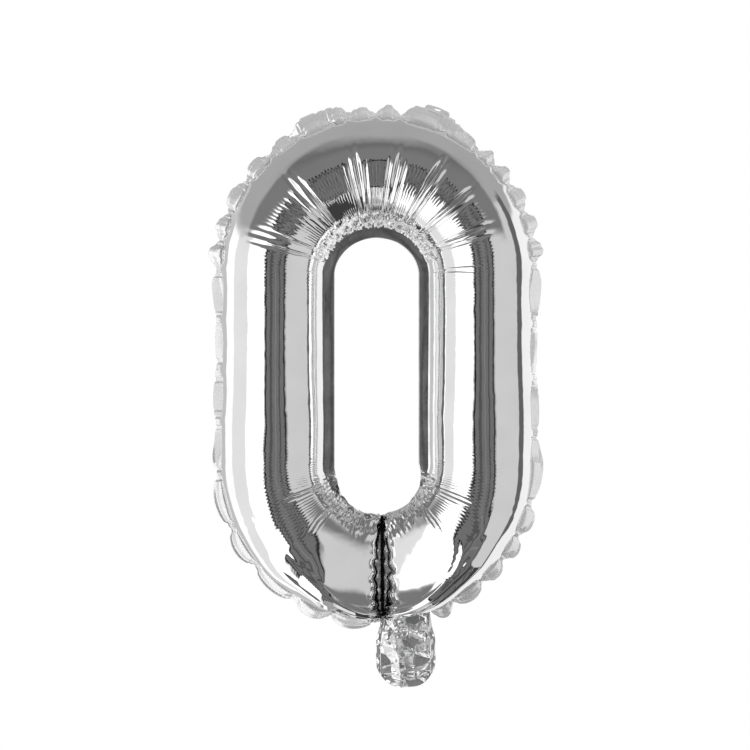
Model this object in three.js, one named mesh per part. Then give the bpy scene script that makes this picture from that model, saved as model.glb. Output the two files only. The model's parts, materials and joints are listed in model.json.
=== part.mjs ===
// A foil number balloon, the figure 0, blown up with air. Millimetres, +Z up, the front faces -Y.
// The origin is at the middle of the top edge of the outer seal, where the balloon hangs from its ribbon,
// and the mid-plane of the balloon, where its two foil sheets meet, is the XZ plane.
import * as THREE from "three";

// Driving dimensions of the inflated body
const TUBE_RADIUS = 35.5; // the round tube that the figure is made of
const LOOP_RADIUS = 71; // bend of the tube's centre line at the top and the bottom
const STRAIGHT_LENGTH = 130; // upright limbs between the two bends
const FILM = 0.8; // wall of the foil, drawn thicker than the real film
const SEAL_THICKNESS = 0.8; // two sheets welded together
const SEAM_GAP = 0.9; // from the mid-plane to each sheet's rim, which leaves the seal free between them
const CLEARANCE = 0.3; // between pieces that touch

// Heat seals
const SEAL_PEAK = 9.5; // width of the outer seal in the middle of a scallop
const SEAL_VALLEY = 6; // and between two scallops
const SCALLOPS = 30;
const SEAL_LAP = 0.8; // how far a seal reaches in under the rims
const HOLE_SEAL_WIDTH = 6.8;

// The weld that closes the tube between the hole and the outer seal
const WELD_X = 4;
const WELD_WIDTH = 6;
const TUBE_END_LENGTH = 24; // over which the tube's round end closes to the weld
const TUBE_END_HALF_DEPTH = 1.2;

// Filling neck, with the self-closing valve inside it
const NECK_X = 20;
const NECK_LENGTH = 45.5;
const NECK_ROOT_HALF_WIDTH = 14;
const NECK_BARREL = 2.5; // how much wider it is halfway down
const NECK_SEAL_WIDTH = 3.5;
const NECK_BULGE = 2.2; // how far each film stands out at the mouth
const NECK_ROUNDING = 0.13; // share of the length by which the mouth's corners are cut back
const NECK_FILM = 0.5;
const NECK_INNER_GAP = 0.5;
const VALVE_HALF_WIDTH = 10;
const VALVE_LENGTH_INSIDE = 52;
const VALVE_LENGTH_IN_NECK = 36;
const VALVE_FILM = 0.3;
const VALVE_GAP = 0.15; // from the mid-plane to each valve film
const VALVE_FOLD_GAP = 2; // left free each side of the fold at the neck's root, so that the neck can swing

// Hanging tabs
const TAB_ANGLE = THREE.MathUtils.degToRad(20.5); // either side of the top
const TAB_WIDTH = 18;
const TAB_HEIGHT = 14;
const TAB_HOLE_RADIUS = 2.5;
const TAB_HOLE_HEIGHT = 8.8;
const RIGHT_TAB_FOLD = THREE.MathUtils.degToRad(70); // tabs rest folded back behind the seal
const LEFT_TAB_FOLD = THREE.MathUtils.degToRad(84);

// Smoothness
const SECTION_STEPS = 10;
const BEND_STEP = THREE.MathUtils.degToRad(9);
const SCALLOP_STEPS = 6;
const END_STEPS = 5;

// Places worked out from them
const topBendZ = -(LOOP_RADIUS + TUBE_RADIUS + SEAL_PEAK);
const bottomBendZ = topBendZ - STRAIGHT_LENGTH;
const quarterBend = (LOOP_RADIUS * Math.PI) / 2;
const loopLength = 4 * quarterBend + 2 * STRAIGHT_LENGTH;
const outerSeamRadius = LOOP_RADIUS + TUBE_RADIUS;
const innerSeamRadius = LOOP_RADIUS - TUBE_RADIUS;
const neckRootZ = bottomBendZ - outerSeamRadius - CLEARANCE - 1;
const firstTubeEnd = WELD_X + WELD_WIDTH / 2 + CLEARANCE;
const lastTubeEnd = loopLength + WELD_X - WELD_WIDTH / 2 - CLEARANCE;

// The point at a distance along the tube's centre line, which starts at the bottom, goes up the right limb,
// over the top and down the left limb, moved outwards by offset and to depth y.
function loopPoint(along, offset, y) {
  const corners = [
    quarterBend,
    quarterBend + STRAIGHT_LENGTH,
    3 * quarterBend + STRAIGHT_LENGTH,
    3 * quarterBend + 2 * STRAIGHT_LENGTH,
  ];
  const radius = LOOP_RADIUS + offset;
  if (along < corners[0]) {
    const angle = along / LOOP_RADIUS;
    return new THREE.Vector3(radius * Math.sin(angle), y, bottomBendZ - radius * Math.cos(angle));
  }
  if (along < corners[1]) return new THREE.Vector3(radius, y, bottomBendZ + along - corners[0]);
  if (along < corners[2]) {
    const angle = (along - corners[1]) / LOOP_RADIUS;
    return new THREE.Vector3(radius * Math.cos(angle), y, topBendZ + radius * Math.sin(angle));
  }
  if (along < corners[3]) return new THREE.Vector3(-radius, y, topBendZ - along + corners[2]);
  const angle = (along - corners[3]) / LOOP_RADIUS;
  return new THREE.Vector3(-radius * Math.cos(angle), y, bottomBendZ - radius * Math.sin(angle));
}

// Distances along the loop at which the tube gets a section: close together at its two ends, even round the
// bends, and few along the straight limbs.
function tubeStations() {
  const stations = [];
  const fromEnd = (i) => TUBE_END_LENGTH * (i / END_STEPS) ** 2;
  for (let i = 0; i < END_STEPS; i++) stations.push(firstTubeEnd + fromEnd(i));
  const step = LOOP_RADIUS * BEND_STEP;
  const endStart = lastTubeEnd - TUBE_END_LENGTH;
  for (let along = firstTubeEnd + TUBE_END_LENGTH; along < endStart - step / 2; along += step) {
    const fromBottom = Math.min(along, loopLength - along);
    const straight = fromBottom > quarterBend + step && fromBottom < quarterBend + STRAIGHT_LENGTH - step;
    if (!straight) stations.push(along);
  }
  for (let i = END_STEPS; i >= 0; i--) stations.push(lastTubeEnd - fromEnd(i));
  return stations;
}

// A thin sheet as a closed solid: two matching grids of points, its outer and inner skin, joined round their
// four edges. Columns x rows points out of the outer skin.
function sheetGeometry(outer, inner) {
  const rows = outer.length;
  const columns = outer[0].length;
  const at = (skin, row, column) => (skin * rows + row) * columns + column;
  const index = [];
  const quad = (a, b, c, d) => index.push(a, b, c, a, c, d);
  const lastRow = rows - 1;
  const lastColumn = columns - 1;
  for (let r = 0; r < lastRow; r++) {
    for (let c = 0; c < lastColumn; c++) {
      quad(at(0, r, c), at(0, r, c + 1), at(0, r + 1, c + 1), at(0, r + 1, c));
      quad(at(1, r, c), at(1, r + 1, c), at(1, r + 1, c + 1), at(1, r, c + 1));
    }
    quad(at(0, r, 0), at(0, r + 1, 0), at(1, r + 1, 0), at(1, r, 0));
    quad(at(0, r, lastColumn), at(1, r, lastColumn), at(1, r + 1, lastColumn), at(0, r + 1, lastColumn));
  }
  for (let c = 0; c < lastColumn; c++) {
    quad(at(0, 0, c), at(1, 0, c), at(1, 0, c + 1), at(0, 0, c + 1));
    quad(at(0, lastRow, c), at(0, lastRow, c + 1), at(1, lastRow, c + 1), at(1, lastRow, c));
  }
  const geometry = new THREE.BufferGeometry().setFromPoints([...outer.flat(), ...inner.flat()]);
  geometry.setIndex(index);
  geometry.computeVertexNormals();
  return geometry;
}

// A flat piece in the XZ plane, cut from a shape drawn in x and z, centred on the mid-plane.
function flatGeometry(shape, thickness) {
  const geometry = new THREE.ExtrudeGeometry(shape, { depth: thickness, bevelEnabled: false });
  geometry.translate(0, 0, -thickness / 2);
  geometry.rotateX(Math.PI / 2);
  return geometry;
}

// Half-depth of the tube at a distance along the loop: its full radius, but for the two round ends.
function tubeHalfDepth(along) {
  const fromEnd = Math.min(along - firstTubeEnd, lastTubeEnd - along);
  const share = Math.min(Math.max(fromEnd / TUBE_END_LENGTH, 0), 1);
  return TUBE_END_HALF_DEPTH + (TUBE_RADIUS - TUBE_END_HALF_DEPTH) * Math.sqrt(1 - (1 - share) ** 2);
}

// One foil sheet, blown up to half of the tube. side is -1 for the front and 1 for the back.
function foilPanelGeometry(side) {
  const stations = tubeStations();
  const skin = (wall) =>
    stations.map((along) => {
      const row = [];
      for (let i = 0; i <= SECTION_STEPS; i++) {
        const angle = (Math.PI * i) / SECTION_STEPS;
        const across = side * (TUBE_RADIUS - wall) * Math.cos(angle);
        const depth = SEAM_GAP + (tubeHalfDepth(along) - wall) * Math.sin(angle);
        row.push(loopPoint(along, across, side * depth));
      }
      return row;
    });
  return sheetGeometry(skin(0), skin(FILM));
}

// Width of the outer seal: a row of scallops, drawn level under each hanging tab.
function outerSealWidth(along) {
  const fromTop = Math.abs(along - loopLength / 2);
  const scallop = Math.abs(Math.cos((Math.PI * SCALLOPS * fromTop) / loopLength));
  const fromTab = Math.abs(fromTop / LOOP_RADIUS - TAB_ANGLE) * outerSeamRadius;
  const underTab = fromTab < TAB_WIDTH / 2 + 1;
  return underTab ? SEAL_PEAK : SEAL_VALLEY + (SEAL_PEAK - SEAL_VALLEY) * scallop ** 0.6;
}

function outerSealGeometry() {
  const neckHalfWidth = NECK_ROOT_HALF_WIDTH + NECK_SEAL_WIDTH + NECK_BARREL + 2 * CLEARANCE;
  const start = LOOP_RADIUS * Math.asin((NECK_X + neckHalfWidth) / outerSeamRadius);
  const end = loopLength + LOOP_RADIUS * Math.asin((NECK_X - neckHalfWidth) / outerSeamRadius);
  const steps = SCALLOPS * SCALLOP_STEPS;
  const outerEdge = [];
  const innerEdge = [];
  for (let i = 0; i <= steps; i++) {
    const along = start + ((end - start) * i) / steps;
    const outer = loopPoint(along, TUBE_RADIUS + outerSealWidth(along), 0);
    outerEdge.push(new THREE.Vector2(outer.x, outer.z));
    const inner = loopPoint(along, TUBE_RADIUS - SEAL_LAP, 0);
    innerEdge.unshift(new THREE.Vector2(inner.x, inner.z));
  }
  return flatGeometry(new THREE.Shape([...outerEdge, ...innerEdge]), SEAL_THICKNESS);
}

// Outline of the hole's shape, grown to a radius at its round ends.
function slotOutline(radius) {
  const outline = new THREE.Path();
  outline.absarc(0, topBendZ, radius, 0, Math.PI, false);
  outline.absarc(0, bottomBendZ, radius, Math.PI, 2 * Math.PI, false);
  outline.closePath();
  return outline;
}

function holeSealGeometry() {
  const shape = new THREE.Shape(slotOutline(innerSeamRadius + SEAL_LAP).getPoints(20));
  shape.holes.push(slotOutline(innerSeamRadius - HOLE_SEAL_WIDTH));
  return flatGeometry(shape, SEAL_THICKNESS);
}

function closingWeldGeometry() {
  const top = bottomBendZ - innerSeamRadius - SEAL_LAP - CLEARANCE;
  const bottom = bottomBendZ - outerSeamRadius + SEAL_LAP + CLEARANCE;
  const geometry = new THREE.BoxGeometry(WELD_WIDTH, SEAL_THICKNESS, top - bottom);
  geometry.translate(WELD_X, 0, (top + bottom) / 2);
  return geometry;
}

// A point of the neck: across is -1 to 1 between its side edges, down is 0 at the root and 1 at the mouth.
function neckPoint(across, down, halfWidth, y) {
  const width = halfWidth + NECK_BARREL * Math.sin(Math.PI * Math.min(down, 1) * 0.85);
  const length = NECK_LENGTH * (1 - NECK_ROUNDING * across ** 2);
  return new THREE.Vector3(NECK_X + across * width, y, neckRootZ - down * length);
}

// One film of the neck, bowed out towards its mouth.
function neckFilmGeometry(side) {
  const rows = 6;
  const columns = 8;
  const skin = (y) => {
    const grid = [];
    for (let r = 0; r <= rows; r++) {
      const row = [];
      for (let c = 0; c <= columns; c++) {
        const across = side * ((2 * c) / columns - 1);
        const bow = NECK_BULGE * (0.3 + (0.7 * r) / rows) * (1 - across ** 2);
        row.push(neckPoint(across, r / rows, NECK_ROOT_HALF_WIDTH, side * (y + bow)));
      }
      grid.push(row);
    }
    return grid;
  };
  return sheetGeometry(skin(NECK_INNER_GAP + NECK_FILM), skin(NECK_INNER_GAP));
}

// The welded edge along one side of the neck. side is -1 for the left and 1 for the right.
function neckSealGeometry(side) {
  const rows = 6;
  const halfThickness = NECK_INNER_GAP + NECK_FILM / 2;
  const skin = (y) => {
    const grid = [];
    for (let r = 0; r <= rows; r++) {
      const edge = neckPoint(side, r / rows, NECK_ROOT_HALF_WIDTH, y);
      const near = edge.clone().add(new THREE.Vector3(side * CLEARANCE, 0, 0));
      const far = edge.clone().add(new THREE.Vector3(side * (CLEARANCE + NECK_SEAL_WIDTH), 0, 0));
      grid.push(side > 0 ? [far, near] : [near, far]);
    }
    return grid;
  };
  return sheetGeometry(skin(-halfThickness), skin(halfThickness));
}

// One clear film of the valve, between two heights. side is -1 for the front and 1 for the back.
function valveFilmGeometry(side, top, bottom) {
  const geometry = new THREE.BoxGeometry(2 * VALVE_HALF_WIDTH, VALVE_FILM, top - bottom);
  geometry.translate(NECK_X, side * (VALVE_GAP + VALVE_FILM / 2), (top + bottom) / 2);
  return geometry;
}

// A rounded tongue with a punched hole for the ribbon, standing on its straight root.
function hangTabGeometry() {
  const half = TAB_WIDTH / 2;
  const corner = half * 0.75;
  const shape = new THREE.Shape();
  shape.moveTo(-half, 0);
  shape.lineTo(half, 0);
  shape.lineTo(half, TAB_HEIGHT - corner);
  shape.absarc(half - corner, TAB_HEIGHT - corner, corner, 0, Math.PI / 2, false);
  shape.absarc(corner - half, TAB_HEIGHT - corner, corner, Math.PI / 2, Math.PI, false);
  shape.closePath();
  const hole = new THREE.Path();
  hole.absarc(0, TAB_HOLE_HEIGHT, TAB_HOLE_RADIUS, 0, 2 * Math.PI, true);
  shape.holes.push(hole);
  return flatGeometry(shape, SEAL_THICKNESS);
}

const mirrorFoil = () => new THREE.MeshStandardMaterial({ color: 0xd9dbdd, roughness: 0.08, metalness: 1 });
const sealedFoil = () => new THREE.MeshStandardMaterial({ color: 0xcfd1d3, roughness: 0.28, metalness: 1 });
const clearFilm = () => new THREE.MeshStandardMaterial({ color: 0xe9ecec, roughness: 0.2, metalness: 0 });

const balloon = new THREE.Group();

function addMesh(name, geometry, material, parent = balloon) {
  const mesh = new THREE.Mesh(geometry, material);
  mesh.name = name;
  parent.add(mesh);
}

// A hanging tab, set on the outer seal at an angle from the top and folded back about its root.
function addHangTab(name, angle, fold) {
  const root = new THREE.Group();
  const radius = outerSeamRadius + SEAL_PEAK + SEAL_THICKNESS / 2 + CLEARANCE;
  root.position.set(radius * Math.sin(angle), 0, topBendZ + radius * Math.cos(angle));
  root.rotation.set(-fold, angle, 0, "YXZ");
  addMesh(name, hangTabGeometry(), sealedFoil(), root);
  balloon.add(root);
}

const valveTop = neckRootZ + VALVE_LENGTH_INSIDE;
const valveBottom = neckRootZ - VALVE_LENGTH_IN_NECK;
const foldTop = neckRootZ + VALVE_FOLD_GAP;
const foldBottom = neckRootZ - VALVE_FOLD_GAP;

for (const [face, side] of [["front", -1], ["back", 1]]) {
  addMesh(`${face}_foil_panel`, foilPanelGeometry(side), mirrorFoil());
  addMesh(`neck_${face}_film`, neckFilmGeometry(side), mirrorFoil());
  addMesh(`valve_${face}_film`, valveFilmGeometry(side, valveTop, foldTop), clearFilm());
  addMesh(`valve_inlet_${face}_film`, valveFilmGeometry(side, foldBottom, valveBottom), clearFilm());
}
addMesh("outer_seal_band", outerSealGeometry(), sealedFoil());
addMesh("hole_seal_band", holeSealGeometry(), sealedFoil());
addMesh("closing_weld", closingWeldGeometry(), sealedFoil());
addMesh("neck_left_seal", neckSealGeometry(-1), sealedFoil());
addMesh("neck_right_seal", neckSealGeometry(1), sealedFoil());
addHangTab("left_hang_tab", -TAB_ANGLE, LEFT_TAB_FOLD);
addHangTab("right_hang_tab", TAB_ANGLE, RIGHT_TAB_FOLD);

export default balloon;
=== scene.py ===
"""A foil number balloon, the figure nought: mirror foil, sealed edges, filling neck and hanging tabs."""
import json
import math
import bpy
import numpy as np
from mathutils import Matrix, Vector


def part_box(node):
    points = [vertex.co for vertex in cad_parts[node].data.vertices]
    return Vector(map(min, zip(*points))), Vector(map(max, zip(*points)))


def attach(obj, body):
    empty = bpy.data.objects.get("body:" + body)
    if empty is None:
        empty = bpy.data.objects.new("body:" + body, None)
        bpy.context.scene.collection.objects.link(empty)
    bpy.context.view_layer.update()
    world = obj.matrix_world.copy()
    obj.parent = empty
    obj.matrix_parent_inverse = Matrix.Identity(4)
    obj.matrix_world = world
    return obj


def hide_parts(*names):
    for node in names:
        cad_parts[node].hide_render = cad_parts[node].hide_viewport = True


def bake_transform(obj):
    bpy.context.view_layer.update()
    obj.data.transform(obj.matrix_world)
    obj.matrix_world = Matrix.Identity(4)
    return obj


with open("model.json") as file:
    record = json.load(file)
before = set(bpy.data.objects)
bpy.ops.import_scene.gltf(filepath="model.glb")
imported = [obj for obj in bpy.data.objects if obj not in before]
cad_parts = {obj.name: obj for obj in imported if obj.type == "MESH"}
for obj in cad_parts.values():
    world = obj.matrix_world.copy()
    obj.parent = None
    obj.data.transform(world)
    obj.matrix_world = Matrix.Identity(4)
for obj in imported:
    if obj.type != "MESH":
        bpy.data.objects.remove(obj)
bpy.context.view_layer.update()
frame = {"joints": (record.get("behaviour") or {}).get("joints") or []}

MM = 0.001


# ---------------- sizes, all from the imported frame

panel_low, panel_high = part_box("front_foil_panel")
_, hole_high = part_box("hole_seal_band")
weld_low, weld_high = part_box("closing_weld")
neck_low, neck_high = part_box("neck_front_film")
left_seal_low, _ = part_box("neck_left_seal")
_, right_seal_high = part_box("neck_right_seal")
valve_low, valve_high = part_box("valve_front_film")
inlet_low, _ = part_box("valve_inlet_front_film")
joints = {joint["name"]: joint for joint in frame["joints"]}

SEAM_LAP = 0.8 * MM  # how far each seal reaches in under the film
OUTER_RADIUS = panel_high.x  # outer seam in the bends
INNER_RADIUS = hole_high.x - SEAM_LAP  # hole seam in the bends
LOOP = (OUTER_RADIUS + INNER_RADIUS) / 2  # centre line of the tube
TUBE = (OUTER_RADIUS - INNER_RADIUS) / 2
TOP_Z = panel_high.z - OUTER_RADIUS
BOTTOM_Z = panel_low.z + OUTER_RADIUS
STRAIGHT = TOP_Z - BOTTOM_Z
QUARTER = LOOP * math.pi / 2
LENGTH = 4 * QUARTER + 2 * STRAIGHT  # once round the centre line
WELD_X = (weld_low.x + weld_high.x) / 2
END_GAP = 3.3 * MM  # each tube end stops this far from the weld's middle
START = WELD_X + END_GAP  # tube ends, measured along the centre line
END = LENGTH + WELD_X - END_GAP


# ---------------- small helpers

def rising(low, high, x):
    """0 below low, 1 above high, and an easy curve between them."""
    t = np.clip((x - low) / (high - low), 0, 1)
    return t * t * (3 - 2 * t)


def bell(x, width):
    """1 in the middle, with the bell curve's slopes at both sides."""
    return np.exp(-0.5 * (x / width) ** 2)


def length_of(vectors):
    x, y, z = vectors
    return np.sqrt(x * x + y * y + z * z) + 1e-12


def smooth_noise(count, pitch, seed, size=1.0):
    """A wandering value at `count` places, with about `pitch` places to a hump."""
    draw = np.random.default_rng(seed)
    knots = draw.uniform(-size, size, max(4, int(count / pitch) + 3))
    at = np.linspace(0, len(knots) - 1, count)
    return catmull(knots[:, None], at)[:, 0]


def catmull(rows, at):
    """Rows read at fractional places, on a smooth curve through them."""
    last = rows.shape[0] - 1
    i = np.clip(np.floor(at).astype(int), 0, last - 1)
    t = (at - i)[:, None].astype(rows.dtype)
    before, here = rows[np.maximum(i - 1, 0)], rows[i]
    there, after = rows[i + 1], rows[np.minimum(i + 2, last)]
    linear = (there - before) * t
    square = (2 * before - 5 * here + 4 * there - after) * t * t
    cube = (after - before + 3 * (here - there)) * t ** 3
    return 0.5 * (2 * here + linear + square + cube)


def loop_point(s):
    """Centre-line x, z and the outward direction at s, which starts at the bottom and climbs the +X limb."""
    s = np.asarray(s, float)
    first, second = QUARTER, QUARTER + STRAIGHT
    third, fourth = 3 * QUARTER + STRAIGHT, 3 * QUARTER + 2 * STRAIGHT
    turned = np.minimum(s, first) / LOOP
    turned = turned + (np.clip(s, second, third) - second) / LOOP
    turned = turned + np.maximum(s - fourth, 0) / LOOP
    level = BOTTOM_Z + np.clip(s - first, 0, STRAIGHT) - np.clip(s - third, 0, STRAIGHT)
    out_x, out_z = np.sin(turned), -np.cos(turned)
    return LOOP * out_x, level + LOOP * out_z, out_x, out_z


def mesh_object(name, places, faces):
    """A smooth-shaded object from places and equal-sided faces."""
    mesh = bpy.data.meshes.new(name)
    sides = faces.shape[1]
    mesh.vertices.add(len(places))
    mesh.vertices.foreach_set("co", np.asarray(places, np.float32).ravel())
    mesh.loops.add(faces.size)
    mesh.loops.foreach_set("vertex_index", np.asarray(faces, np.int32).ravel())
    mesh.polygons.add(len(faces))
    mesh.polygons.foreach_set("loop_start", np.arange(0, faces.size, sides, dtype=np.int32))
    mesh.update(calc_edges=True)
    mesh.validate()
    mesh.shade_smooth()
    piece = bpy.data.objects.new(name, mesh)
    bpy.context.scene.collection.objects.link(piece)
    return piece


def add_attribute(piece, name, values):
    layer = piece.data.attributes.new(name, "FLOAT", "POINT")
    layer.data.foreach_set("value", np.asarray(values, np.float32).ravel())


def film_shell(name, outer, inner, ring=False):
    """A closed film from an outer grid and an inner grid of the same size, with the rim between them.

    In a ring the last row joins the first."""
    nu, nv = outer.shape[1:]
    count = nu * nv
    places = np.concatenate([grid.reshape(3, count).T for grid in (outer, inner)])
    row = np.arange(nu if ring else nu - 1)[:, None]
    column = np.arange(nv - 1)[None, :]
    here, beyond = row * nv + column, (row + 1) % nu * nv + column
    skin = np.stack([here, here + 1, beyond + 1, beyond], -1).reshape(-1, 4)
    index = np.arange(count).reshape(nu, nv)
    if ring:
        rims = [index[::-1, 0], index[:, -1]]
    else:
        rims = [np.concatenate([index[0], index[1:, -1], index[-1, -2::-1], index[-2:0:-1, 0]])]
    faces = [skin, skin[:, ::-1] + count]
    for rim in rims:
        following = np.roll(rim, -1)
        faces.append(np.stack([following, rim, rim + count, following + count], -1))
    faces = np.concatenate(faces)
    a, b, c, d = (places[faces[:, corner]] for corner in range(4))
    inside = np.einsum("ij,ij->", a, np.cross(b, c) + np.cross(c, d))
    return mesh_object(name, places, faces if inside > 0 else faces[:, ::-1])


def grid_normals(sheet):
    along = np.gradient(sheet, axis=1)
    across = np.gradient(sheet, axis=2)
    normal = np.stack([
        across[1] * along[2] - across[2] * along[1],
        across[2] * along[0] - across[0] * along[2],
        across[0] * along[1] - across[1] * along[0],
    ])
    return normal / length_of(normal)


def folded_paper(u, v, seed, folds, pitch):
    """Height of a sheet crossed by sharp folds in all directions; u, v and the folds' pitch in metres."""
    draw = np.random.default_rng(seed)
    height = np.zeros(np.broadcast(u, v).shape)
    for _ in range(folds):
        turn = draw.uniform(0, math.pi)
        wide = pitch * draw.uniform(0.7, 1.6)
        place = (u * math.cos(turn) + v * math.sin(turn)) / wide + draw.uniform(0, 1)
        height = height + wide * np.abs(place - np.floor(place) - 0.5)
    return height / folds - pitch * 0.28


# ---------------- the inflated foil

# each fold runs out from the hole: degrees from the middle of its bend, how many degrees round the
# tube section it reaches, and the millimetres of film tucked into it
TOP_FOLDS = (
    (-73.5, 122, 2.0), (-43, 124, 1.9), (-11, 114, 2.6), (11, 114, 2.8),
    (31, 119, 4.0), (49, 117, 2.4), (68, 110, 2.4),
)
BOTTOM_FOLDS = (
    (-68, 86, 2.6), (-45, 80, 2.6), (-23, 64, 2.0),
    (67, 86, 2.6), (45, 80, 2.6), (24, 60, 1.6),
)
FOLD_WIDTH = 1.4 * MM
BELL_AREA = 2.5066  # area under bell(x, 1)
RIB_PITCH = 3.4 * MM
RIB_SHARE = 0.05  # film gathered as fine ribs inside the bends
SEAM_SHARE = 0.03  # film gathered along the outer seam
SEAM_PLEAT = 1.3 * MM  # and tucked in between two beads
SEAM_PLEAT_WIDTH = 1.2 * MM
SEAM_DRIFT = 0.7 * MM  # how far the outer seam may shift
END_WEDGE = 25 * MM  # each tube end fills out slowly beside the hole
END_BLUNT = 9 * MM  # and quickly at the outer seam
END_RIM = 0.38  # share of the depth gained at once, at the slit
END_RIM_OUTSIDE = 0.6  # and the same near the outer seam
END_HOLD = 0.06  # how firmly the ends are held to that shape
SAG = 20 * MM  # beside the slit the crest runs out to the neck
SAG_SPAN = 22 * MM
FACET_SLOPE = 0.2375  # how steep the flat slack facets outside that crest are
FACET_PITCH = 34 * MM
SLIDE = 0.004  # how firmly the film is kept from sliding along the tube
SLIT_HALF_WIDTH = 2.9 * MM
HOLE_DROP = 4.4 * MM

# where one bead of the outer edge ends and the next begins: degrees from the middle of each bend
TOP_BEADS = (-86, -77, -67, -56, -47.5, -40, -25.7, -8.7, 0.2, 10.7, 17, 29.5, 42, 54.5, 68, 78, 88)
BOTTOM_RIGHT_BEADS = (20, 28.6, 42, 52.6, 63, 75)
BOTTOM_LEFT_BEADS = (-86, -66, -50, -31, -17, -2)
SIDE_BEADS = 4
BEAD_DIP = 3.2 * MM  # how far each bead bows in past the ends of its seam
BEAD_WIDTH = 8.9 * MM
BEAD_NECK = 1.8 * MM  # width left where two beads meet
SIDE_NECK = 3.6 * MM  # extra width there, down the straight limbs
RIM_WIDTH = 2.2 * MM  # thin rim outside a bead's puffed part
RIM_LEAST = 0.5 * MM  # and between two beads
PUFF_SHARE = 0.72  # share of the edge's grid in the puffed part
TAB_LAP = 1.6 * MM  # how far the edge reaches past a tab's fold
HOLE_BAND = 6.8 * MM
# the hole's edge through the bottom, where it is drawn into a point: degrees, radius in millimetres
HOLE_BOTTOM = (
    (-90, 28.7), (-70, 29.2), (-48, 31.7), (-20, 34.6),
    (0, 35.9), (37, 35.6), (69, 32.4), (90, 28.7),
)


def bead_ends():
    """Places along the loop where the beads of the outer edge meet."""
    right = [LOOP * math.radians(angle) for angle in BOTTOM_RIGHT_BEADS]
    top = [LENGTH / 2 + LOOP * math.radians(angle) for angle in TOP_BEADS]
    left = [LENGTH + LOOP * math.radians(angle) for angle in BOTTOM_LEFT_BEADS]
    sides = []
    for low, high in ((right[-1], top[0]), (top[-1], left[0])):
        sides += list(np.linspace(low, high, SIDE_BEADS + 1)[1:-1])
    return np.array(sorted(right + top + left + sides))


def fold_places():
    """Each fold as its place along the loop, its reach and its tuck."""
    places = []
    for angle, reach, tuck in TOP_FOLDS:
        places.append((LENGTH / 2 - LOOP * math.radians(angle), reach, tuck * MM))
    for angle, reach, tuck in BOTTOM_FOLDS:
        at = LOOP * math.radians(angle)
        places.append((at if angle > 0 else LENGTH + at, reach, tuck * MM))
    return places


def fold_window(reach, degrees):
    """1 where a fold is open on the tube section, 0 outside its reach."""
    return rising(8, 36, degrees) * (1 - rising(reach - 24, reach + 8, degrees))


def bend_share(s):
    """1 in the bends, dying away down the straight limbs."""
    above = np.clip(np.abs(s - LENGTH / 2) - QUARTER, 0, None)
    below = np.clip(np.minimum(s, LENGTH - s) - QUARTER, 0, None)
    return np.maximum(np.exp(-above / (22 * MM)), np.exp(-below / (16 * MM)))


def gathered_share(s, phi):
    """Extra film along the loop, as a share of the tube's own length, at each place."""
    degrees = np.degrees(phi)[None, :]
    s = s[:, None]
    from_bottom = np.minimum(s, LENGTH - s)
    low = rising(1.1 * QUARTER, 2 * QUARTER, from_bottom)
    share = RIB_SHARE * rising(6, 30, degrees) * (1 - rising(80, 112, degrees)) * bend_share(s) * low
    for at, reach, tuck in fold_places():
        density = tuck / (FOLD_WIDTH * BELL_AREA) * bell(s - at, FOLD_WIDTH)
        share = share + density * fold_window(reach, degrees)
    seam = rising(150, 180, degrees) ** 1.5
    share = share + seam * SEAM_SHARE
    pleat = seam * SEAM_PLEAT / (SEAM_PLEAT_WIDTH * BELL_AREA)
    for at in bead_ends():
        share = share + pleat * bell(s - at, SEAM_PLEAT_WIDTH)
    return share


def stations(count):
    """Places along the loop, closer together in the bends and at the tube ends than down the limbs."""
    fine = np.linspace(START, END, 4001)
    from_end = np.minimum(fine - START, END - fine)
    density = 0.42 + 0.58 * bend_share(fine) + 0.5 * np.exp(-from_end / (12 * MM))
    total = np.concatenate([[0], np.cumsum(0.5 * (density[1:] + density[:-1]))])
    return np.interp(np.linspace(0, total[-1], count), total, fine)


def hole_drop(out_z):
    """The hole is lower than round at its top: how far its edge comes down."""
    return HOLE_DROP * np.clip(out_z, 0, 1) ** 1.2


def slit_half_width(z):
    """Half the open width between the two tube ends, widest in the middle of the weld."""
    t = np.clip((z - weld_low.z) / (weld_high.z - weld_low.z), 0, 1)
    wavy = 0.06 * np.sin(z / (2.3 * MM)) + 0.06 * np.sin(z / (3.9 * MM) + 1)
    return SLIT_HALF_WIDTH * (0.12 + (0.8 + wavy) * np.clip(np.sin(math.pi * t), 0, 1))


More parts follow.
